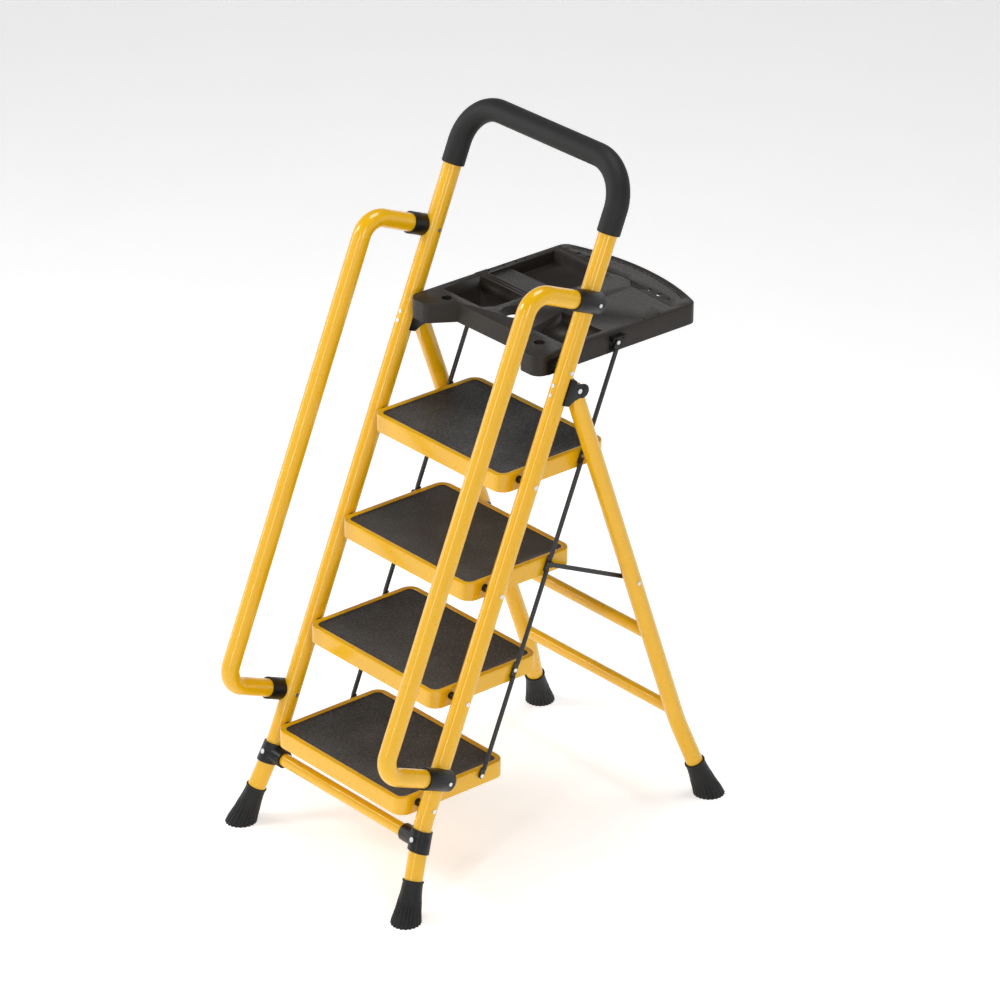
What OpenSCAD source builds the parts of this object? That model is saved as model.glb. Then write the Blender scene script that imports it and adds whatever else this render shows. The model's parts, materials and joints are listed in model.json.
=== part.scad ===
// Folding four-step platform ladder with side handrails and a top tool tray.
// X is the width, Y the depth with the climbing side at -Y, Z is up.
// The origin is on the floor at the centre of the bounding box.
// "Rail frame": z runs up along the leaning front rails, y points square to them, to the rear.

/* [Front frame] */
// Lean of the front rails from the vertical, degrees
lean = 22.2; // [22:0.1:22.4]
// Half distance between the front rail axes
rail_x = 232; // [231:0.5:234]
// Outside radius of the rail and handrail tube
rail_r = 19; // [18.5:0.1:19]
// Wall of every steel tube
tube_wall = 1.1; // [1:0.1:2]
// Height of the top bar's axis above the floor
handle_z = 1446; // [1440:1:1460]
// Bend radius of the handle's corners, on the tube axis
handle_bend = 88; // [70:1:95]
// Outside radius of the foam grip
grip_r = 23.7; // [22:0.1:25]
// How far the foam grip reaches down each rail below the top bar's axis
grip_drop = 134; // [110:1:150]
// Height of the front crossbar's axis
crossbar_z = 152; // [150:0.5:153]
// Outside radius of the front crossbar
crossbar_r = 14; // [13:0.5:14]

/* [Handrails] */
// Distance from a rail axis forward to its handrail axis
hand_off = 168.5; // [160:0.5:175]
// How far a handrail stands outboard of its rail axis
hand_out = 15.5; // [14:0.5:17]
// Height on the rail axis of the lower handrail stub
hand_low_z = 275; // [272:1:280]
// Height on the rail axis of the upper handrail stub
hand_high_z = 1197; // [1190:1:1205]
// Bend radius of the handrail corners, on the tube axis
hand_bend = 43; // [40:1:60]

/* [Steps] */
// Height of the lowest tread
step1_z = 230; // [230:1:231]
// Height from one tread to the next
step_pitch = 210; // [209:0.5:212]
// Half width of a step
step_hw = 199; // [197:0.5:199]
// How far a step reaches in front of its pivot
step_front = 44; // [40:0.5:44]
// How far a step reaches behind its pivot
step_rear = 232; // [228:0.5:232]
// Depth of a step's side wall
step_h = 37; // [35:0.5:38]
// Height of the tread above the step's pivot
step_above = 16; // [15:0.5:16]
// Corner radius of a step
step_corner = 26; // [24:1:34]
// Distance from the edge of a step to its anti-slip pad
pad_inset = 13; // [11:0.5:15]
// Sheet thickness of a step
sheet = 1.1; // [1:0.1:1.6]

/* [Rear frame] */
// Tilt of the rear legs from the vertical, degrees
leg_tilt = 19.7; // [19.5:0.1:20]
// Half distance between the rear leg axes
leg_x = 233; // [233:0.5:235]
// Outside radius of the rear leg tube
leg_r = 18; // [17:0.5:18]
// Distance of the rear leg pivot up the rail from the floor
leg_pivot_s = 1116; // [1114:1:1118]
// Distance of the rear leg pivot behind the rail axis
leg_pivot_o = 32.5; // [32.5:0.5:34]
// Height of the upper rear crossbar
rear_bar_high_z = 405; // [400:1:410]
// Height of the lower rear crossbar
rear_bar_low_z = 208; // [206:1:215]
// Outside radius of the rear crossbars
rear_bar_r = 13; // [11:0.5:13]

/* [Feet] */
// Half distance between the front feet on the floor
front_foot_x = 264; // [262:1:268]
// Half distance between the rear feet on the floor
rear_foot_x = 265; // [262:1:268]
// Length of a rubber foot along its leg
foot_h = 86; // [80:1:90]
// Radius of a rubber foot near the floor
foot_r = 32; // [31:0.5:33]

/* [Tray] */
// Height of the tray's top face
tray_z = 1087; // [1086:1:1088]
// Depth of the tray's side wall
tray_h = 42; // [41:1:43]
// Half width of the tray
tray_hw = 197.5; // [195:0.5:197.5]
// Height of the tray's pivot
tray_pivot_z = 1063; // [1062:1:1064]
// Wall of the moulded tray
tray_wall = 3; // [2.5:0.5:3.5]
// Depth of the tray's compartments
pocket_h = 25; // [20:1:30]

/* [Linkage] */
// Distance from a step's pivot back to its link pin
link_back = 162; // [160:0.5:163]
// Height of a link pin above the step's pivot
link_up = 3; // [2:0.5:4]
// Distance down the rear leg from its pivot to the brace pin
brace_down = 506; // [500:1:508]

/* [Hidden] */

$fn = 64;
fit = 0.05;          // gap between parts of one body that sit inside each other
run_fit = 0.1;       // radial clearance of a pin that turns in its hole
loose_fit = 0.5;     // radial clearance at the pivots that only follow the linkage
yellow = [0.96, 0.70, 0.05];
black = [0.09, 0.09, 0.09];
zinc = [0.75, 0.75, 0.77];
tray_brown = [0.20, 0.18, 0.17];

// The front-most point is on a handrail's lower corner, the rear-most on a rear foot.
function rail_s(z) = z / cos(lean);
hand_low_s = rail_s(hand_low_z);
hand_high_s = rail_s(hand_high_z);
front_y = (hand_low_s + hand_bend) * sin(lean) - (hand_off - hand_bend) * cos(lean) - hand_bend - rail_r;
leg_pivot_y = leg_pivot_s * sin(lean) + leg_pivot_o * cos(lean);
leg_pivot_z = leg_pivot_s * cos(lean) - leg_pivot_o * sin(lean);
leg_len = leg_pivot_z / cos(leg_tilt);
rear_foot_y = leg_pivot_y + leg_pivot_z * tan(leg_tilt);
rear_splay = 9.5;    // outward splay of the rear legs' lower ends, degrees
front_splay = 9.5;   // outward splay of the front legs' lower ends, degrees
front_turn = 8;      // turn of the front legs' splay towards the rear, degrees
foot_reach = foot_r / cos(leg_tilt);
y_off = (front_y + rear_foot_y + foot_reach) / 2;

// Splayed leg ends: bend radius and the height along the leg where the bend begins.
front_splay_bend = 250;
rear_splay_bend = 250;
function splay_start(dx, a, bend) = (dx - bend * (1 - cos(a))) / tan(a) + bend * sin(a);

handle_s = rail_s(handle_z);
bow_joint_s = handle_s - 104;   // rails and bow meet under the grip
tee_s = rail_s(crossbar_z);
tee_r = 22.5;
tee_h = 44;
tee_x = rail_x + (splay_start(front_foot_x - rail_x, front_splay, front_splay_bend)
    - front_splay_bend * tan(front_splay / 2) - tee_s) * tan(front_splay);
clamp_r = 23;
clamp_front = -53;              // ends of a clamp along its stub
clamp_back = 21;
hand_x = rail_x + hand_out;

pin_r = 4;
link_pin_r = 3;
rivet_r = 2.4;
rod_r = 4.6;
rod_x = 206;
rod_flat_x = 201.5;             // flattened stretches of the rod, next to the steps
rod_flat_t = 4;
brace_x = 211;
brace_t = 3;
bush_r = 8;
cheek_x = 18.4;                 // bracket cheeks stand this far each side of the leg axis
cheek_t = 3.4;

function pivot_z(k) = step1_z + (k - 1) * step_pitch - step_above;
link_s = link_back * sin(lean) + link_up * cos(lean);
link_o = link_back * cos(lean) - link_up * sin(lean);
tray_pivot_s = rail_s(tray_pivot_z);
pin_zs = [for (k = [1:4]) pivot_z(k), tray_pivot_z];
rivet_ss = [hand_low_s, hand_high_s];
bracket_rivet_ds = [-21, -1.5];

// Brace: from the third step's link pin to the rear leg.
brace_y0 = pivot_z(3) * tan(lean) + link_back;
brace_z0 = pivot_z(3) + link_up;
brace_y1 = leg_pivot_y + brace_down * sin(leg_tilt);
brace_z1 = leg_pivot_z - brace_down * cos(leg_tilt);
brace_len = norm([brace_y1 - brace_y0, brace_z1 - brace_z0]);
brace_dir = atan2(brace_z1 - brace_z0, brace_y1 - brace_y0);

// ---------- frames and small helpers ----------
module rail_frame() translate([0, -y_off, 0]) rotate([-lean, 0, 0]) children();
module leg_frame() translate([0, leg_pivot_y - y_off, leg_pivot_z]) rotate([leg_tilt, 0, 0]) children();
module pivot_frame(z) translate([0, z * tan(lean) - y_off, z]) children();
module on_side(side) mirror([side < 0 ? 1 : 0, 0, 0]) children();
module both_sides() for (side = [-1, 1]) on_side(side) children();
module x_rod(r, x0, x1) translate([x0, 0, 0]) rotate([0, 90, 0]) cylinder(h = x1 - x0, r = r);
module y_rod(r, y0, y1) translate([0, y0, 0]) rotate([-90, 0, 0]) cylinder(h = y1 - y0, r = r);
// Arc of tube in the XZ plane, from angle a0 counted from +X towards +Z
module xz_arc(r, bend, a0, a) rotate([90, 0, 0]) rotate([0, 0, a0])
    rotate_extrude(angle = a) translate([bend, 0]) circle(r);
// Arc of tube in the YZ plane, from angle a0 counted from +Y towards +Z
module yz_arc(r, bend, a0, a) rotate([90, 0, 90]) rotate([0, 0, a0])
    rotate_extrude(angle = a) translate([bend, 0]) circle(r);
module round_rect(x0, x1, y0, y1, r) {
    translate([x0 + r, y0]) square([x1 - x0 - 2 * r, y1 - y0]);
    translate([x0, y0 + r]) square([x1 - x0, y1 - y0 - 2 * r]);
    for (x = [x0 + r, x1 - r], y = [y0 + r, y1 - r]) translate([x, y]) circle(r);
}
module below_floor() translate([-600, -900, -300]) cube([1200, 1800, 300]);

// Lower end of a leg, splayed outward: x0 and x1 are its half widths above and on the floor.
module splayed_end(r, x0, x1, a, bend, end_gap) {
    start = splay_start(x1 - x0, a, bend);
    translate([x0 + bend, 0, start]) xz_arc(r, bend, 180, a);
    translate([x1, 0, 0]) rotate([0, -a, 0]) translate([0, 0, end_gap])
        cylinder(h = (start - bend * sin(a)) / cos(a) - end_gap, r = r);
}

// ---------- front frame ----------
module turn_about_rail() translate([rail_x, 0, 0]) rotate([0, 0, front_turn]) translate([-rail_x, 0, 0]) children();
module rail_path(r, end_gap) {
    start = splay_start(front_foot_x - rail_x, front_splay, front_splay_bend);
    turn_about_rail() {
        translate([rail_x, 0, start]) cylinder(h = bow_joint_s - start, r = r);
        splayed_end(r, rail_x, front_foot_x, front_splay, front_splay_bend, end_gap);
    }
}
module front_rail(side) color(yellow) rail_frame() on_side(side) difference() {
    rail_path(rail_r, 16);
    rail_path(rail_r - tube_wall, 16);
    for (z = pin_zs) translate([0, 0, rail_s(z)]) x_rod(pin_r + fit, rail_x - 30, rail_x + 30);
    for (s = rivet_ss) translate([0, 0, s]) x_rod(rivet_r + fit, rail_x - 30, rail_x + 30);
    for (ds = bracket_rivet_ds) translate([rail_x, 0, leg_pivot_s + ds]) y_rod(rivet_r + fit, -30, 30);
    translate([tee_x, 0, tee_s]) y_rod(rivet_r + fit, -30, 0);
}
module bow_path(r, leg_down) {
    both_sides() {
        translate([rail_x, 0, handle_s - handle_bend - leg_down]) cylinder(h = leg_down, r = r);
        translate([rail_x - handle_bend, 0, handle_s - handle_bend]) xz_arc(r, handle_bend, 0, 90);
    }
    translate([0, 0, handle_s]) x_rod(r, -(rail_x - handle_bend), rail_x - handle_bend);
}
module handle_bow() color(yellow) rail_frame() difference() {
    bow_path(rail_r, handle_s - handle_bend - bow_joint_s - fit);
    bow_path(rail_r - tube_wall, handle_s - handle_bend - bow_joint_s - fit);
}
module handle_grip() color(black) rail_frame() difference() {
    bow_path(grip_r, grip_drop - handle_bend);
    bow_path(rail_r + fit, grip_drop - handle_bend);
}
module handrail_path(r, y_end) {
    low = hand_low_s + hand_bend;
    high = hand_high_s - hand_bend;
    bend_y = hand_bend - hand_off;
    translate([hand_x, -hand_off, low]) cylinder(h = high - low, r = r);
    translate([hand_x, bend_y, low]) yz_arc(r, hand_bend, 180, 90);
    translate([hand_x, bend_y, high]) yz_arc(r, hand_bend, 90, 90);
    for (s = rivet_ss) translate([hand_x, 0, s]) y_rod(r, bend_y, y_end);
}
module handrail(side) color(yellow) rail_frame() on_side(side) difference() {
    handrail_path(rail_r, -rail_r - 1);
    handrail_path(rail_r - tube_wall, -rail_r - 1);
}
// Clamp that holds a handrail stub beside its rail
module handrail_clamp(side, s) color(black) rail_frame() on_side(side) difference() {
    translate([hand_x, 0, s]) {
        y_rod(clamp_r, clamp_front, clamp_back - 8);
        translate([0, clamp_back - 8, 0]) rotate([-90, 0, 0]) cylinder(h = 8, r1 = clamp_r, r2 = clamp_r - 6);
    }
    translate([rail_x, 0, s - 60]) cylinder(h = 120, r = rail_r + fit);
    translate([hand_x, 0, s]) y_rod(rail_r + fit, clamp_front - 10, -rail_r - 1 + fit);
    translate([0, 0, s]) x_rod(rivet_r + fit, rail_x, hand_x + 40);
}
module front_crossbar() color(yellow) rail_frame() translate([0, 0, tee_s]) difference() {
    x_rod(crossbar_r, -207, 207);
    x_rod(crossbar_r - tube_wall, -208, 208);
}
module crossbar_tee(side) color(black) rail_frame() on_side(side) difference() {
    union() {
        intersection() {
            rail_path(tee_r, 0);
            translate([rail_x - 60, -60, tee_s - tee_h / 2]) cube([120, 120, tee_h]);
        }
        translate([0, 0, tee_s]) x_rod(crossbar_r + 4.5, 191, tee_x);
    }
    rail_path(rail_r + fit, 0);
    translate([0, 0, tee_s]) x_rod(crossbar_r + fit, 180, 207 + fit);
    translate([tee_x, 0, tee_s]) y_rod(rivet_r + fit, -40, 0);
}
// Rubber boot around the end of a leg, cut level by the floor
module foot_shape(r_leg) difference() {
    rotate_extrude() polygon([[0, -30], [foot_r + 2, -30], [foot_r + 0.5, -8], [foot_r - 0.3, 2],
        [foot_r - 3.4, 18], [foot_r - 6.2, 35], [foot_r - 8.8, 54], [foot_r - 10.8, foot_h - 12],
        [foot_r - 11.1, foot_h - 4], [foot_r - 9.8, foot_h - 3], [foot_r - 9.8, foot_h], [0, foot_h]]);
    translate([0, 0, 16 - fit]) cylinder(h = foot_h, r = r_leg + fit);
}
module front_foot(side) color(black) difference() {
    rail_frame() on_side(side) turn_about_rail() translate([front_foot_x, 0, 0])
        rotate([0, -front_splay, 0]) foot_shape(rail_r);
    below_floor();
}
// Bracket behind a rail: a thin saddle and two cheeks that hold a rear leg's pivot
module cheek_outline() {
    translate([10, 1]) circle(14.5);
    polygon([[-22, 20], [-17, 20], [-10, 12], [8, 15.4], [16, -8.5], [6, -14], [-5, -21], [-13, -31],
        [-17, -34], [-30, -34], [-30, 20]]);
}
module leg_bracket(side) color(black) rail_frame() on_side(side) difference() {
    translate([0, 0, leg_pivot_s]) {
        translate([rail_x, 0, -34]) cylinder(h = 54, r = rail_r + 1.2);
        for (x = [leg_x - cheek_x - cheek_t, leg_x + cheek_x]) translate([x, leg_pivot_o, 0])
            rotate([90, 0, 90]) linear_extrude(cheek_t) cheek_outline();
    }
    translate([rail_x, 0, leg_pivot_s - 60]) cylinder(h = 120, r = rail_r + fit);
    translate([rail_x - 40, -60, leg_pivot_s - 60]) cube([80, 61, 120]);
    translate([0, leg_pivot_o, leg_pivot_s]) x_rod(pin_r + fit, leg_x - 30, leg_x + 30);
    for (ds = bracket_rivet_ds) translate([rail_x, 0, leg_pivot_s + ds]) y_rod(rivet_r + fit, 0, 40);
}
// Pin along X with a low round head at its outer end
module headed_pin(r, head_r, x0, x1, head) {
    x_rod(r, x0, x1);
    x_rod(head_r, x1, x1 + head);
}
module step_pivot_pins() color(zinc) both_sides() for (k = [1:4]) pivot_frame(pivot_z(k)) {
    headed_pin(pin_r, 4.8, step_hw - sheet - 3, rail_x + rail_r, 1.2);
    x_rod(6.5, step_hw - sheet - 4.5, step_hw - sheet - 1);
}
module step_bushes() color(black) both_sides() for (k = [1:4]) difference() {
    pivot_frame(pivot_z(k)) x_rod(bush_r, step_hw + 0.5, rail_x - 8);
    pivot_frame(pivot_z(k)) x_rod(pin_r + fit, step_hw, rail_x);
    rail_frame() translate([rail_x, 0, rail_s(pivot_z(k)) - 60]) cylinder(h = 120, r = rail_r + fit);
}
module tray_pivot_pins() color(zinc) both_sides() pivot_frame(tray_pivot_z)
    headed_pin(pin_r, 4.8, tray_hw + 1, rail_x + rail_r, 1.2);
module leg_pivot_pins() color(zinc) rail_frame() both_sides() translate([0, leg_pivot_o, leg_pivot_s]) {
    headed_pin(pin_r, 5.2, leg_x - cheek_x - cheek_t, leg_x + cheek_x + cheek_t, 1.6);
    x_rod(5.2, leg_x - cheek_x - cheek_t - 1.2, leg_x - cheek_x - cheek_t);
}
module frame_rivets() color(zinc) rail_frame() both_sides() {
    for (s = rivet_ss) translate([0, 0, s]) {
        headed_pin(rivet_r, 4, rail_x - rail_r, hand_x + clamp_r, 1.4);
        x_rod(4, rail_x - rail_r - 1.2, rail_x - rail_r);
    }
    for (ds = bracket_rivet_ds) translate([rail_x, 0, leg_pivot_s + ds]) {
        y_rod(rivet_r, -rail_r, rail_r + 1);
        y_rod(4, -rail_r - 1.2, -rail_r);
    }
    translate([tee_x, 0, tee_s]) {
        y_rod(rivet_r, -tee_r, -rail_r + 4);
        y_rod(5.2, -tee_r - 1.4, -tee_r);
    }
}

// ---------- rear frame ----------
leg_top = 57;        // tube starts this far below the pivot, under its solid end
fold_gap = 20.6;     // nearest that a folded leg's end comes to the rail axis
module leg_path(r, end_gap) {
    start = splay_start(rear_foot_x - leg_x, rear_splay, rear_splay_bend);
    translate([leg_x, 0, start]) cylinder(h = leg_len - leg_top - start, r = r);
    splayed_end(r, leg_x, rear_foot_x, rear_splay, rear_splay_bend, end_gap);
}
module leg_foot_frame() leg_frame() translate([0, 0, -leg_len]) children();
module rear_leg(side) color(yellow) leg_foot_frame() on_side(side) difference() {
    leg_path(leg_r, 16);
    leg_path(leg_r - tube_wall, 16);
    translate([0, 0, leg_len - brace_down]) x_rod(link_pin_r + fit, leg_x - 30, leg_x + 30);
}
// Painted end piece that closes the leg's top and turns on the pivot pin, relieved in front
// by a plane that lies along the rail when the ladder is folded
module leg_end(side) color(yellow) leg_frame() on_side(side) difference() {
    union() {
        intersection() {
            translate([leg_x, 0, -leg_top]) cylinder(h = leg_top + 30, r = leg_r);
            union() {
                x_rod(11.5, leg_x - leg_r, leg_x + leg_r);
                translate([leg_x - leg_r, -leg_r, -leg_top]) cube([2 * leg_r, 2 * leg_r, leg_top]);
            }
        }
        translate([leg_x, 0, -leg_top - 24]) cylinder(h = 25, r = leg_r - tube_wall - fit);
    }
    rotate([-leg_tilt - lean + 36, 0, 0]) translate([leg_x - 40, -60 - leg_pivot_o + fold_gap, -leg_top - 40])
        cube([80, 60, leg_top + 80]);
    translate([leg_x, 0, -leg_top - 25]) cylinder(h = leg_top, r = leg_r - 6);
    x_rod(pin_r + run_fit, leg_x - 30, leg_x + 30);
}
module rear_crossbar(z) color(yellow) difference() {
    leg_frame() translate([0, 0, (z - leg_pivot_z) / cos(leg_tilt)]) difference() {
        x_rod(rear_bar_r, -leg_x, leg_x);
        x_rod(rear_bar_r - tube_wall, -leg_x - 1, leg_x + 1);
    }
    leg_foot_frame() both_sides() leg_path(leg_r + fit, 0);
}
module rear_foot(side) color(black) difference() {
    leg_foot_frame() on_side(side) translate([rear_foot_x, 0, 0]) rotate([0, -rear_splay, 0]) foot_shape(leg_r);
    below_floor();
}
// Pin and spacer on each rear leg that the brace turns on
module brace_pins() color(zinc) leg_frame() both_sides() translate([0, 0, -brace_down]) difference() {
    union() {
        headed_pin(link_pin_r, 4.4, brace_x - 0.2, leg_x + leg_r, 1.4);
        difference() {
            x_rod(7, brace_x + brace_t + 0.4, leg_x - 8);
            translate([leg_x, 0, -30]) cylinder(h = 60, r = leg_r + fit);
        }
    }
}

// ---------- steps ----------
module step_outline(inset) round_rect(inset - step_hw, step_hw - inset, inset - step_front,
    step_rear - inset, step_corner - inset);
pad_t = 3.5;
recess_h = 4;
rim_w = pad_inset - sheet;
module step_pan(k) color(yellow) pivot_frame(pivot_z(k)) difference() {
    translate([0, 0, step_above - step_h]) linear_extrude(step_h) step_outline(0);
    translate([0, 0, step_above - recess_h]) linear_extrude(step_h) step_outline(pad_inset);
    translate([0, 0, step_above - step_h - 1]) linear_extrude(step_h + 1 - recess_h - sheet) step_outline(sheet);
    translate([0, 0, step_above - step_h]) linear_extrude(step_h - sheet) difference() {
        step_outline(sheet);
        step_outline(rim_w);
    }
    x_rod(pin_r + run_fit, -step_hw - 1, step_hw + 1);
    translate([0, link_back, link_up]) x_rod(link_pin_r + fit, -step_hw - 1, step_hw + 1);
}
module step_pad(k) color([0.16, 0.16, 0.17]) pivot_frame(pivot_z(k))
    translate([0, 0, step_above - recess_h]) linear_extrude(pad_t) step_outline(pad_inset + fit * 4);
module link_pin_pair(x0) both_sides() {
    headed_pin(link_pin_r, 4.2, x0, rod_flat_x + rod_flat_t + 0.3, 1.2);
}
module step_link_pins(k) color(zinc) pivot_frame(pivot_z(k)) translate([0, link_back, link_up]) {
    link_pin_pair(step_hw - sheet);
    both_sides() x_rod(5, step_hw - sheet - 1.5, step_hw - sheet);
}

// ---------- tool tray ----------
// Tray outline, in from its edge by i: lobes at the front corners and a bowed rear edge
lobe_r = 24;
lobe_in_r = 16;
lobe_in_x = 152;
lobe_front = -40.5;
notch_y = 13.5;
chamfer_dir = 213.5;
bow_r = 520;
bow_y = 414.5;
rear_corner_r = 23;
module tray_outline(i) {
    corner_x = tray_hw - rear_corner_r;
    bow_c = bow_y - bow_r;
    corner_y = bow_c + sqrt(pow(bow_r - rear_corner_r, 2) - pow(corner_x, 2));
    reach = 1.2;
    lobe_y = lobe_front + lobe_in_r;
    tx = lobe_in_x + (lobe_in_r - i) * cos(chamfer_dir);
    ty = lobe_y + (lobe_in_r - i) * sin(chamfer_dir);
    notch_x = tx - (notch_y + i - ty) * tan(chamfer_dir - 180);
    translate([i - tray_hw, notch_y + i]) square([2 * (tray_hw - i), corner_y - notch_y - i]);
    intersection() {
        translate([0, bow_c]) circle(bow_r - i, $fn = 200);
        polygon([for (y = [notch_y + i + 5, (corner_y - bow_c) * reach + bow_c], m = y < corner_y ? [1, -1] : [-1, 1])
            [m * corner_x * (y - bow_c) / (corner_y - bow_c), y]]);
    }
    for (m = [-1, 1]) {
        translate([m * corner_x, corner_y]) circle(rear_corner_r - i);
        translate([m * (tray_hw - lobe_r), lobe_front + lobe_r]) circle(lobe_r - i);
        translate([m * lobe_in_x, lobe_y]) circle(lobe_in_r - i);
        polygon([[m * notch_x, notch_y + i + 1], [m * notch_x, notch_y + i], [m * tx, ty],
            [m * lobe_in_x, lobe_y], [m * lobe_in_x, lobe_front + i], [m * (tray_hw - lobe_r), lobe_front + i],
            [m * (tray_hw - lobe_r), lobe_front + lobe_r], [m * (tray_hw - i), lobe_front + lobe_r],
            [m * (tray_hw - i), notch_y + i + 1]]);
    }
}
// Compartments: [corner points, depth]
pockets = [
    [[[-179, 36], [-62, 36], [-46, 60], [-46, 134], [-179, 134]], pocket_h],
    [[[-179, 139], [-40, 139], [-40, 143], [-179, 143]], 4],
    [[[-179, 148], [-40, 148], [-40, 152], [-179, 152]], 4],
    [[[-179, 157], [-14, 157], [-14, 212], [-179, 212]], 3.5],
    [[[-179, 212], [-14, 212], [-14, 332], [-179, 332]], pocket_h],
    [[[82, 44], [178, 44], [178, 144], [58, 144]], pocket_h]];
tool_holes = [[-140, 13], [140, 13]];
tool_hole_r = 11;
cup_y = 75;
cup_r = 30;
bit_holes = [[-138, 362, 5], [-110, 364, 7], [89, 350, 5], [120, 348, 7], [149, 345, 5], [-170, 356, 3]];
rim_holes = [[-189, 165], [-189, 205], [-189, 238], [-189, 262], [188, 284], [188, 244]];
ring_x = 53;
ring_y = 284;
// Wavy line of the ridge behind the compartments
ridge = [[-179, 345], [-22, 345], [2, 352], [30, 352], [52, 334], [78, 334], [178, 327]];
module ridge_line(w) for (i = [0:len(ridge) - 2]) {
    d = ridge[i + 1] - ridge[i];
    translate(ridge[i]) rotate(atan2(d[1], d[0])) translate([-w * 0.15, -w / 2]) square([norm(d) + w * 0.3, w]);
}
// Walls grow with the compartment: each side moves out by g
module pocket_solid(p, g) {
    polygon(p[0]);
    if (g > 0) for (i = [0:len(p[0]) - 1]) {
        d = p[0][(i + 1) % len(p[0])] - p[0][i];
        translate(p[0][i]) rotate(atan2(d[1], d[0])) translate([-g, -g]) square([norm(d) + 2 * g, g]);
    }
}
module tool_tray() color(tray_brown) pivot_frame(tray_pivot_z) translate([0, 0, tray_z - tray_pivot_z]) {
    difference() {
        translate([0, 0, -tray_h]) linear_extrude(tray_h) tray_outline(0);
        difference() {
            translate([0, 0, -tray_h - 1]) linear_extrude(tray_h + 1 - tray_wall) tray_outline(tray_wall);
            for (p = pockets) translate([0, 0, -p[1] - tray_wall]) linear_extrude(tray_h) pocket_solid(p, tray_wall);
            translate([0, 0, -3 - tray_wall]) linear_extrude(tray_h) ridge_line(8);
            for (h = tool_holes) translate([h[0], h[1], -20]) cylinder(h = 20, r = tool_hole_r + 2.5);
            translate([0, cup_y, -20]) cylinder(h = 20, r = cup_r + 2.5);
            for (x = [-1, 1]) for (y = [0, link_back]) translate([x * tray_hw - 6, y - 12, -tray_h])
                cube([12, 24, tray_h]);
        }
        for (p = pockets) translate([0, 0, -p[1]]) linear_extrude(pocket_h + 1) pocket_solid(p, 0);
        translate([0, 0, -3]) linear_extrude(5) ridge_line(3);
        for (h = tool_holes) translate([h[0], h[1], -40]) cylinder(h = 50, r = tool_hole_r);
        translate([0, cup_y, -40]) cylinder(h = 50, r = cup_r);
        for (h = bit_holes) translate([h[0], h[1], -10]) cylinder(h = 20, r = h[2]);
        for (h = rim_holes) translate([h[0], h[1], -10]) cylinder(h = 20, r = 2.5);
        for (i = [10, 16]) translate([0, 0, -1.5]) linear_extrude(5) intersection() {
            difference() {
                translate([0, bow_y - bow_r]) circle(bow_r - i, $fn = 200);
                translate([0, bow_y - bow_r]) circle(bow_r - i - 2.5, $fn = 200);
            }
            translate([-166, 330]) square([332, 100]);
        }
        translate([0, 0, tray_pivot_z - tray_z]) {
            x_rod(pin_r + run_fit, -tray_hw - 1, -tray_hw + 12);
            x_rod(pin_r + run_fit, tray_hw - 12, tray_hw + 1);
            for (x = [-1, 1]) translate([0, link_back, link_up]) x_rod(link_pin_r + fit, x * tray_hw - 12, x * tray_hw + 12);
        }
    }
    for (r = [10, 30]) translate([ring_x, ring_y, -2.5]) difference() {
        cylinder(h = 1.3, r = r + 1.2);
        translate([0, 0, -1]) cylinder(h = 4, r = r);
    }
}
module tray_hinge_bosses() color(black) both_sides() pivot_frame(tray_pivot_z) difference() {
    union() {
        x_rod(12, tray_hw, tray_hw + 9);
        translate([tray_hw, -17, -17]) cube([3.5, 34, 29]);
    }
    x_rod(pin_r + run_fit, tray_hw - 1, tray_hw + 20);
}
module tray_link_brackets() color(black) both_sides() pivot_frame(tray_pivot_z)
    translate([tray_hw, link_back, link_up]) difference() {
        union() {
            translate([0, -16, -14]) cube([2.5, 32, 28]);
            translate([0, -16, 11]) cube([13, 32, 3]);
            for (y = [-16, 13]) translate([0, y, 5]) cube([11, 3, 9]);
        }
        x_rod(link_pin_r + fit, -1, 20);
    }
module tray_link_pins() color(zinc) pivot_frame(tray_pivot_z) translate([0, link_back, link_up])
    link_pin_pair(tray_hw - 6);

// ---------- link rods and braces ----------
rod_pins = [for (z = pin_zs) rail_s(z) + link_s];
flat_half = 17;      // half length of a flattened stretch
module link_rod(side) color(black) rail_frame() on_side(side) translate([0, link_o, 0]) difference() {
    union() {
        for (i = [0:3]) translate([rod_x, 0, rod_pins[i] + flat_half - 3])
            cylinder(h = rod_pins[i + 1] - rod_pins[i] - 2 * flat_half + 6, r = rod_r);
        for (i = [0:4]) {
            low = i == 0 ? 0 : -flat_half;
            high = i == 4 ? 0 : flat_half;
            translate([rod_flat_x, -6, rod_pins[i] + low]) cube([rod_flat_t, 12, high - low]);
        }
        for (s = [rod_pins[0], rod_pins[4]]) translate([0, 0, s]) x_rod(6, rod_flat_x, rod_flat_x + rod_flat_t);
    }
    for (i = [0:4]) translate([0, 0, rod_pins[i]])
        x_rod(link_pin_r + (i == 2 ? run_fit : loose_fit), rod_flat_x - 1, rod_flat_x + rod_flat_t + 1);
}
// Flat brace; its step end only lies over the third link pin
module brace(side) color(black) on_side(side) translate([0, brace_y0 - y_off, brace_z0])
    rotate([brace_dir, 0, 0]) difference() {
        union() {
            translate([brace_x, 0, -4.5]) cube([brace_t, brace_len, 9]);
            x_rod(6.5, brace_x, brace_x + brace_t);
            translate([0, brace_len, 0]) x_rod(7, brace_x, brace_x + brace_t);
        }
        translate([0, brace_len, 0]) x_rod(link_pin_r + run_fit, brace_x - 1, brace_x + brace_t + 1);
    }

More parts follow.
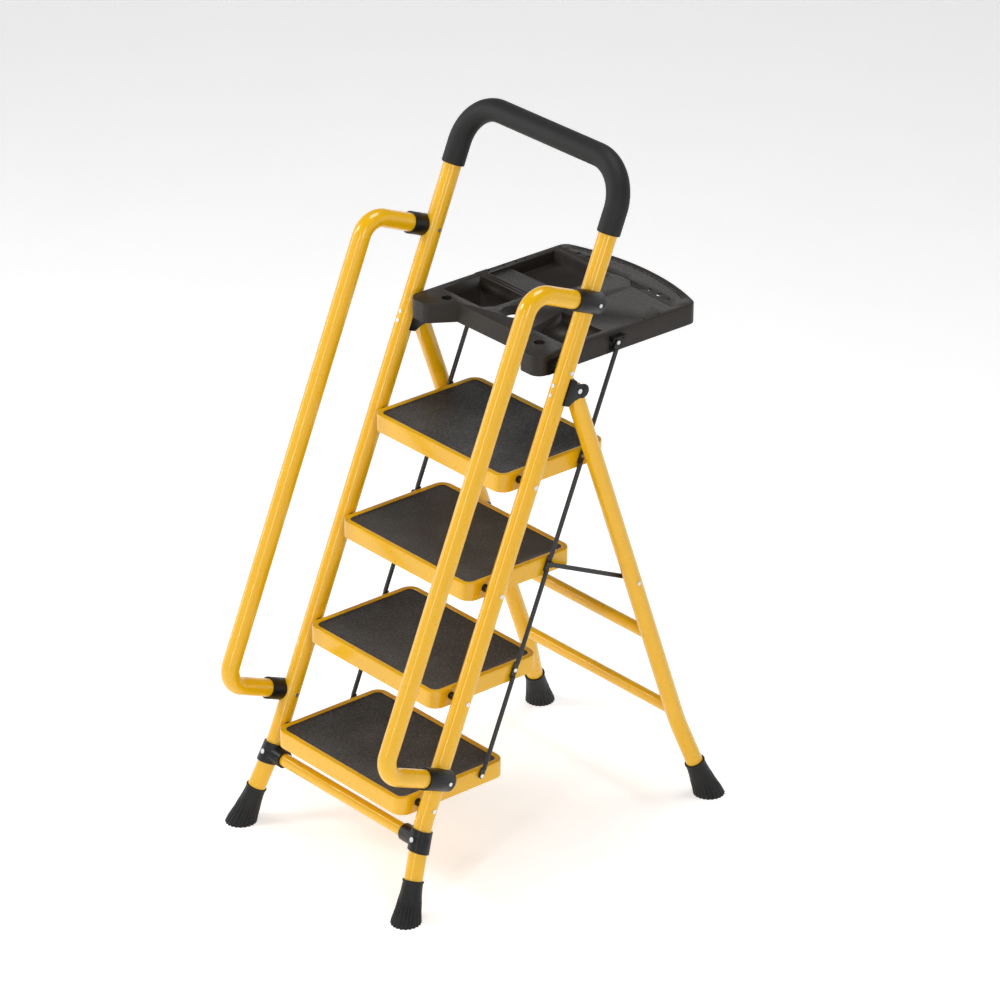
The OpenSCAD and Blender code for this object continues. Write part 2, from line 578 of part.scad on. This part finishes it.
front_rail(-1);  // front_rail_left
front_rail(1);  // front_rail_right
handle_bow();
handle_grip();
handrail(-1);  // handrail_left
handrail(1);  // handrail_right
handrail_clamp(-1, hand_high_s);  // handrail_clamp_upper_left
handrail_clamp(1, hand_high_s);  // handrail_clamp_upper_right
handrail_clamp(-1, hand_low_s);  // handrail_clamp_lower_left
handrail_clamp(1, hand_low_s);  // handrail_clamp_lower_right
front_crossbar();
crossbar_tee(-1);  // crossbar_tee_left
crossbar_tee(1);  // crossbar_tee_right
front_foot(-1);  // front_foot_left
front_foot(1);  // front_foot_right
leg_bracket(-1);  // leg_bracket_left
leg_bracket(1);  // leg_bracket_right
step_pivot_pins();
step_bushes();
tray_pivot_pins();
leg_pivot_pins();
frame_rivets();
rear_leg(-1);  // rear_leg_left
rear_leg(1);  // rear_leg_right
leg_end(-1);  // leg_end_left
leg_end(1);  // leg_end_right
rear_crossbar(rear_bar_high_z);  // rear_crossbar_upper
rear_crossbar(rear_bar_low_z);  // rear_crossbar_lower
rear_foot(-1);  // rear_foot_left
rear_foot(1);  // rear_foot_right
brace_pins();
step_pan(1);  // step_pan_1
step_pad(1);  // step_pad_1
step_link_pins(1);  // step_link_pins_1
step_pan(2);  // step_pan_2
step_pad(2);  // step_pad_2
step_link_pins(2);  // step_link_pins_2
step_pan(3);  // step_pan_3
step_pad(3);  // step_pad_3
step_link_pins(3);  // step_link_pins_3
step_pan(4);  // step_pan_4
step_pad(4);  // step_pad_4
step_link_pins(4);  // step_link_pins_4
tool_tray();
tray_hinge_bosses();
tray_link_brackets();
tray_link_pins();
link_rod(-1);  // link_rod_left
link_rod(1);  // link_rod_right
brace(-1);  // brace_left
brace(1);  // brace_right
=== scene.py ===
"""Looks of a folding four-step platform ladder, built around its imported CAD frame."""
import json
import math

import bmesh
import bpy
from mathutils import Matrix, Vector

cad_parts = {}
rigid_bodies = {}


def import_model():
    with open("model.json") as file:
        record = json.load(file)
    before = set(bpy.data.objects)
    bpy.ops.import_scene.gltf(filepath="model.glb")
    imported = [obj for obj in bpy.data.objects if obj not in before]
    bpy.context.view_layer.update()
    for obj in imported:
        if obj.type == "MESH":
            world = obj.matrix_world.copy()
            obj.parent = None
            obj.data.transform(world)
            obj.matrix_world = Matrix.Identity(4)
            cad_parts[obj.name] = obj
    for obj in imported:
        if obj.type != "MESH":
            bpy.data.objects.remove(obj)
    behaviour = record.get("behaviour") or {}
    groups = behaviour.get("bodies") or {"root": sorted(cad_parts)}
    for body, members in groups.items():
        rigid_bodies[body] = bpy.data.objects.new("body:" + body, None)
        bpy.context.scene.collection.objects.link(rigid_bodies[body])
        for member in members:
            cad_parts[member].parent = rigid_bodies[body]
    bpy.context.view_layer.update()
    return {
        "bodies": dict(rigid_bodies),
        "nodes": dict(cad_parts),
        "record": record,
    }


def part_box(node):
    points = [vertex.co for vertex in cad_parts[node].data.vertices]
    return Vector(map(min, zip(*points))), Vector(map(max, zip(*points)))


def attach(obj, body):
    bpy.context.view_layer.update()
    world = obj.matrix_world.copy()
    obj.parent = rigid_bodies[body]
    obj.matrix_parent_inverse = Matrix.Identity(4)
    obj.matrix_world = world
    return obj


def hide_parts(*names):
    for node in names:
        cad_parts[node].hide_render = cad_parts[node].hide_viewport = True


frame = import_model()
NODES = frame["nodes"]

# ---------------------------------------------------------------- materials


def new_material(name):
    material = bpy.data.materials.new(name)
    material.use_nodes = True
    tree = material.node_tree
    shader = next(n for n in tree.nodes if n.type == "BSDF_PRINCIPLED")
    return material, tree, shader


def noise(tree, scale, detail, rough=0.5):
    """Object-space noise; scale is in features per metre. Returns its factor output."""
    coords = tree.nodes.new("ShaderNodeTexCoord")
    node = tree.nodes.new("ShaderNodeTexNoise")
    node.inputs["Scale"].default_value = scale
    node.inputs["Detail"].default_value = detail
    node.inputs["Roughness"].default_value = rough
    tree.links.new(coords.outputs["Object"], node.inputs["Vector"])
    return node.outputs["Fac"]


def colour_from(tree, shader, factor, stops):
    """The shader's base colour follows factor through (position, colour) stops."""
    node = tree.nodes.new("ShaderNodeValToRGB")
    elements = node.color_ramp.elements
    while len(elements) < len(stops):
        elements.new(0.5)
    for element, (position, colour) in zip(elements, stops):
        element.position = position
        element.color = (*colour, 1)
    tree.links.new(factor, node.inputs["Fac"])
    tree.links.new(node.outputs["Color"], shader.inputs["Base Color"])


def roughness_from(tree, shader, factor, low, high):
    """The shader's roughness runs from low to high over the middle of factor's range."""
    node = tree.nodes.new("ShaderNodeMapRange")
    node.inputs["From Min"].default_value = 0.3
    node.inputs["From Max"].default_value = 0.7
    node.inputs["To Min"].default_value = low
    node.inputs["To Max"].default_value = high
    tree.links.new(factor, node.inputs["Value"])
    tree.links.new(node.outputs["Result"], shader.inputs["Roughness"])


def bump(tree, shader, height, strength, distance):
    node = tree.nodes.new("ShaderNodeBump")
    node.inputs["Strength"].default_value = strength
    node.inputs["Distance"].default_value = distance
    tree.links.new(height, node.inputs["Height"])
    tree.links.new(node.outputs["Normal"], shader.inputs["Normal"])


def grey(value, tint=(1, 1, 1)):
    return tuple(value * t for t in tint)


def yellow_paint():
    material, tree, shader = new_material("yellow_paint")
    colour_from(tree, shader, noise(tree, 14, 2),
                [(0.3, (0.755, 0.405, 0.001)), (0.7, (0.77, 0.418, 0.0015))])
    roughness_from(tree, shader, noise(tree, 60, 3), 0.27, 0.29)
    shader.inputs["Specular IOR Level"].default_value = 0.35
    shader.inputs["Coat Weight"].default_value = 0.55
    shader.inputs["Coat Roughness"].default_value = 0.1
    bump(tree, shader, noise(tree, 700, 1), 0.03, 0.0001)
    return material


def moulded(name, low, high, rough, grain, strength):
    """Moulded plastic or rubber with a fine surface grain."""
    material, tree, shader = new_material(name)
    colour_from(tree, shader, noise(tree, 25, 4), [(0.3, low), (0.7, high)])
    roughness_from(tree, shader, noise(tree, 160, 3), rough - 0.05, rough + 0.05)
    shader.inputs["Specular IOR Level"].default_value = 0.3
    bump(tree, shader, noise(tree, grain, 2), strength, 0.0002)
    return material


def foam():
    material, tree, shader = new_material("foam_grip")
    colour_from(tree, shader, noise(tree, 500, 4), [(0.3, grey(0.005)), (0.75, grey(0.012))])
    shader.inputs["Roughness"].default_value = 0.62
    shader.inputs["Specular IOR Level"].default_value = 0.35
    bump(tree, shader, noise(tree, 900, 4, 0.7), 0.35, 0.0005)
    return material


def tread():
    material, tree, shader = new_material("tread_pad")
    warm = (1, 0.97, 0.94)
    colour_from(tree, shader, noise(tree, 330, 5, 0.75),
                [(0.36, grey(0.004)), (0.52, grey(0.018, warm)), (0.66, grey(0.12, warm))])
    roughness_from(tree, shader, noise(tree, 12, 3), 0.45, 0.6)
    bump(tree, shader, noise(tree, 420, 5, 0.75), 0.9, 0.001)
    return material


def zinc():
    material, tree, shader = new_material("zinc_rivet")
    colour_from(tree, shader, noise(tree, 300, 3), [(0.3, grey(0.62)), (0.7, grey(0.78))])
    shader.inputs["Metallic"].default_value = 1
    roughness_from(tree, shader, noise(tree, 500, 3), 0.22, 0.4)
    bump(tree, shader, noise(tree, 900, 2), 0.1, 0.0001)
    return material


def black_steel():
    material, tree, shader = new_material("black_steel")
    colour_from(tree, shader, noise(tree, 90, 4), [(0.3, grey(0.008)), (0.7, grey(0.014))])
    roughness_from(tree, shader, noise(tree, 200, 3), 0.34, 0.46)
    bump(tree, shader, noise(tree, 700, 2), 0.1, 0.0002)
    return material


MATERIALS = {
    "yellow_paint": yellow_paint(),
    "foam_grip": foam(),
    "black_plastic": moulded("black_plastic", grey(0.004), grey(0.007), 0.36, 1200, 0.1),
    "rubber_foot": moulded("rubber_foot", grey(0.005), grey(0.009), 0.5, 900, 0.2),
    "tread_pad": tread(),
    "tray_plastic": moulded("tray_plastic", (0.018, 0.0145, 0.012), (0.024, 0.0195, 0.016),
                            0.45, 1100, 0.2),
    "zinc_rivet": zinc(),
    "black_steel": black_steel(),
}
SLOT_OF = {part["node"]: part["material_slot"] for part in frame["record"]["subparts"]}
for node, obj in NODES.items():
    for slot in obj.material_slots:
        slot.material = MATERIALS[SLOT_OF[node]]

# ---------------------------------------------------------------- detailed pieces


BODY_OF = {node: body for node, obj in NODES.items()
           for body, empty in frame["bodies"].items() if obj.parent == empty}
FLAT = 1.5e-4          # a larger face on a panel is flat, in square metres
LEVEL = 1e-4           # points this near to a height lie on it, in metres
FOOT_H = 0.086         # foot, along its axis, from the floor
SOCKET_DEPTH = 0.066   # how far the tube goes into a foot
FLUTE, FLUTES, FLUTE_TOP, FLUTE_FADE = 0.0022, 22, 0.054, 0.02
FOOT_STEPS = 168       # points round a foot
# Height along the axis and radius, from the lipped collar down past the floor
FOOT_PROFILE = [(0.086, 0.0209), (0.0857, 0.0216), (0.0845, 0.0219), (0.083, 0.0219), (0.0822, 0.0213),
                (0.0818, 0.0207), (0.080, 0.0207), (0.074, 0.0208), (0.060, 0.0220), (0.050, 0.0234),
                (0.0465, 0.0240), (0.045, 0.0243), (0.041, 0.0249), (0.035, 0.0255), (0.026, 0.0267),
                (0.018, 0.0283), (0.010, 0.0298), (0.002, 0.0313), (-0.008, 0.0321), (-0.018, 0.0326),
                (-0.029, 0.0330)]


def show(build, node, smooth=35):
    """Turns a bmesh into the piece shown for a CAD node, with that node's body and finish."""
    mesh = bpy.data.meshes.new(node + "_shape")
    build.to_mesh(mesh)
    build.free()
    obj = bpy.data.objects.new(node + "_shape", mesh)
    bpy.context.scene.collection.objects.link(obj)
    mesh.materials.append(MATERIALS[SLOT_OF[node]])
    mesh.set_sharp_from_angle(angle=math.radians(smooth))
    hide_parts(node)
    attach(obj, BODY_OF[node])


def cad_bmesh(node):
    """A cleaned copy of a node's own mesh: flat faces are single polygons again."""
    build = bmesh.new()
    build.from_mesh(NODES[node].data)
    bmesh.ops.remove_doubles(build, verts=build.verts, dist=2e-6)
    bmesh.ops.dissolve_limit(build, angle_limit=math.radians(0.6), verts=build.verts, edges=build.edges)
    return build


def round_edges(build, test, width, segments, limit=40):
    """Bevels the edges sharper than limit degrees that pass the test; None passes all."""
    edges = [edge for edge in build.edges
             if len(edge.link_faces) == 2 and edge.calc_face_angle(0) >= math.radians(limit)
             and (test is None or test(edge))]
    if edges:
        bmesh.ops.bevel(build, geom=edges, offset=width, offset_type="OFFSET", segments=segments,
                        profile=0.5, affect="EDGES", clamp_overlap=True)


def close_up(build, flat_area=None):
    """Smooth shading, but for flat faces larger than flat_area, and no face of many corners."""
    for face in build.faces:
        face.smooth = flat_area is None or face.calc_area() < flat_area
    bmesh.ops.triangulate(build, faces=[f for f in build.faces if len(f.verts) > 4])


def refine(node, test, width, segments, limit=40, flat_area=None):
    """Rounds a node's edges and keeps the result inside the node's own box."""
    low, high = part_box(node)
    build = cad_bmesh(node)
    round_edges(build, test, width, segments, limit)
    close_up(build, flat_area)
    for vert in build.verts:
        for axis in range(3):
            vert.co[axis] = min(max(vert.co[axis], low[axis]), high[axis])
    show(build, node)


def above(z):
    """A test for edges that lie wholly above a height."""
    return lambda edge: all(v.co.z > z for v in edge.verts)


def end_ring(node):
    """Axis and centre of the flat ring at a foot's upper end, and its inner radius."""
    mesh = NODES[node].data
    groups = {}
    for face in mesh.polygons:
        if 0.75 < face.normal.z < 0.9999:
            key = tuple(round(v, 2) for v in face.normal)
            groups.setdefault(key, []).append(face)
    faces = max(groups.values(), key=lambda g: sum(f.area for f in g))
    axis = sum((f.normal * f.area for f in faces), Vector()).normalized()
    top = max(f.center.dot(axis) for f in faces)
    ring = {i for f in faces if f.center.dot(axis) > top - 0.001 for i in f.vertices}
    centre = sum((mesh.vertices[i].co for i in ring), Vector()) / len(ring)
    return axis, centre, min((mesh.vertices[i].co - centre).length for i in ring)


def fluted_foot(node):
    """Rubber foot with a lipped collar above and fine flutes below, cut off level with the floor."""
    axis, centre, bore = end_ring(node)
    base = centre - axis * FOOT_H
    turn = axis.to_track_quat("Z", "Y").to_matrix()
    build = bmesh.new()
    socket = FOOT_H - SOCKET_DEPTH
    rings = [(socket, 0.0, 0), (socket, bore, 0), (FOOT_H, bore, 0)]
    for t, r in FOOT_PROFILE:
        rings.append((t, r, FLUTE * min(1, max(0, (FLUTE_TOP - t) / FLUTE_FADE))))
    rows = []
    for t, r, depth in rings:
        row = []
        for i in range(FOOT_STEPS):
            angle = 2 * math.pi * i / FOOT_STEPS
            wave = 0.5 - 0.5 * math.cos(FLUTES * angle)
            reach = r - depth * wave ** 2
            spot = Vector((reach * math.cos(angle), reach * math.sin(angle), t))
            row.append(build.verts.new(base + turn @ spot))
        rows.append(row)
    for a, b in zip(rows, rows[1:]):
        for i in range(FOOT_STEPS):
            j = (i + 1) % FOOT_STEPS
            build.faces.new((a[i], b[i], b[j], a[j]))
    bmesh.ops.remove_doubles(build, verts=build.verts, dist=1e-6)
    cut = bmesh.ops.bisect_plane(build, geom=build.verts[:] + build.edges[:] + build.faces[:],
                                 plane_co=(0, 0, 2e-5), plane_no=(0, 0, 1), clear_inner=True)
    rim = [e for e in cut["geom_cut"] if isinstance(e, bmesh.types.BMEdge)]
    bmesh.ops.edgeloop_fill(build, edges=rim)
    bmesh.ops.recalc_face_normals(build, faces=build.faces)
    for face in build.faces:
        face.smooth = True
    show(build, node, 50)


def beaded_pad(node):
    """Tread pad whose border stands a little above its grained top."""
    build = cad_bmesh(node)
    top = max(build.faces, key=lambda f: f.calc_center_median().z + f.calc_area())
    bmesh.ops.inset_region(build, faces=[top], thickness=0.0026, use_even_offset=True)
    bmesh.ops.translate(build, verts=top.verts, vec=(0, 0, -0.0008))
    round_edges(build, above(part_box(node)[1][2] - 1e-5), 0.0009, 3)
    close_up(build, FLAT)
    show(build, node)


def tray_rim(edge):
    """The tray's outer top edge: its side wall runs the full height of the tray."""
    low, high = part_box("tool_tray")
    return above(high[2] - LEVEL)(edge) and any(
        min(v.co.z for v in face.verts) < low[2] + LEVEL for face in edge.link_faces)


for side in ("left", "right"):
    fluted_foot("front_foot_" + side)
    fluted_foot("rear_foot_" + side)
for k in range(1, 5):
    pan = "step_pan_%d" % k
    refine(pan, above(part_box(pan)[1][2] - LEVEL), 0.0028, 4, flat_area=FLAT)
    beaded_pad("step_pad_%d" % k)
refine("tool_tray", tray_rim, 0.0016, 3, flat_area=FLAT)
refine("handle_grip", None, 0.0035, 4, limit=50)
for side in ("left", "right"):
    for level in ("upper", "lower"):
        refine("handrail_clamp_%s_%s" % (level, side), None, 0.0012, 3)
    refine("crossbar_tee_" + side, None, 0.0014, 3)
    refine("leg_bracket_" + side, None, 0.0006, 2)

# ---------------------------------------------------------------- stage, light, camera

# A pale floor with a far wall of the same finish all round, for views near the horizon
FLOOR_REACH, WALL_R, WALL_H = 30, 28, 20
floor_mesh = bpy.data.meshes.new("floor")
build = bmesh.new()
bmesh.ops.create_grid(build, x_segments=1, y_segments=1, size=FLOOR_REACH)
bmesh.ops.create_cone(build, cap_ends=False, segments=96, radius1=WALL_R, radius2=WALL_R, depth=WALL_H)
build.to_mesh(floor_mesh)
build.free()
floor = bpy.data.objects.new("floor", floor_mesh)
bpy.context.scene.collection.objects.link(floor)
material, tree, shader = new_material("floor_white")
colour_from(tree, shader, noise(tree, 3, 2), [(0.3, grey(0.90)), (0.7, grey(0.92))])
shader.inputs["Roughness"].default_value = 0.9
shader.inputs["Emission Color"].default_value = (1, 1, 1, 1)
shader.inputs["Emission Strength"].default_value = 0.47
floor_mesh.materials.append(material)

bpy.context.scene.view_settings.view_transform = "Standard"
world = bpy.data.worlds.new("studio")
bpy.context.scene.world = world
world.use_nodes = True
world.node_tree.nodes["Background"].inputs["Color"].default_value = (1, 1, 1, 1)
world.node_tree.nodes["Background"].inputs["Strength"].default_value = 0.14


def area_light(name, at, to, size, power):
    data = bpy.data.lights.new(name, "AREA")
    data.shape = "RECTANGLE"
    data.size, data.size_y = size
    data.energy = power
    obj = bpy.data.objects.new(name, data)
    bpy.context.scene.collection.objects.link(obj)
    obj.location = at
    obj.rotation_euler = (Vector(to) - Vector(at)).to_track_quat("-Z", "Y").to_euler()


area_light("key", (-2.2, -3.2, 3.6), (0, 0, 0.8), (1.1, 1.1), 66)
area_light("fill", (3.4, -1.6, 2.4), (0, 0, 0.8), (0.5, 2.4), 30)
area_light("top", (0.2, 0.6, 4.2), (0, 0, 0.6), (1.6, 1.6), 60)
area_light("strip_left", (-2.6, -1.6, 1.5), (0, 0, 0.8), (0.10, 2.6), 17)
area_light("strip_right", (1.3, -3.2, 1.7), (0, 0, 0.8), (0.10, 2.6), 18)

AZIMUTH, ELEVATION = math.radians(50.09), math.radians(26.62)
DISTANCE = 10.302
AIM = Vector((0, -0.150797, 0.650))
camera_data = bpy.data.cameras.new("camera")
camera = bpy.data.objects.new("camera", camera_data)
bpy.context.scene.collection.objects.link(camera)
bpy.context.scene.camera = camera
camera_data.sensor_width = 36
camera_data.lens = 186.66
camera_data.shift_x = 0.084
camera_data.shift_y = 0.0467
camera_data.clip_end = 100
to_camera = Vector((math.sin(AZIMUTH) * math.cos(ELEVATION), -math.cos(AZIMUTH) * math.cos(ELEVATION),
                    math.sin(ELEVATION)))
camera.location = AIM + DISTANCE * to_camera
camera.rotation_euler = to_camera.to_track_quat("Z", "Y").to_euler()
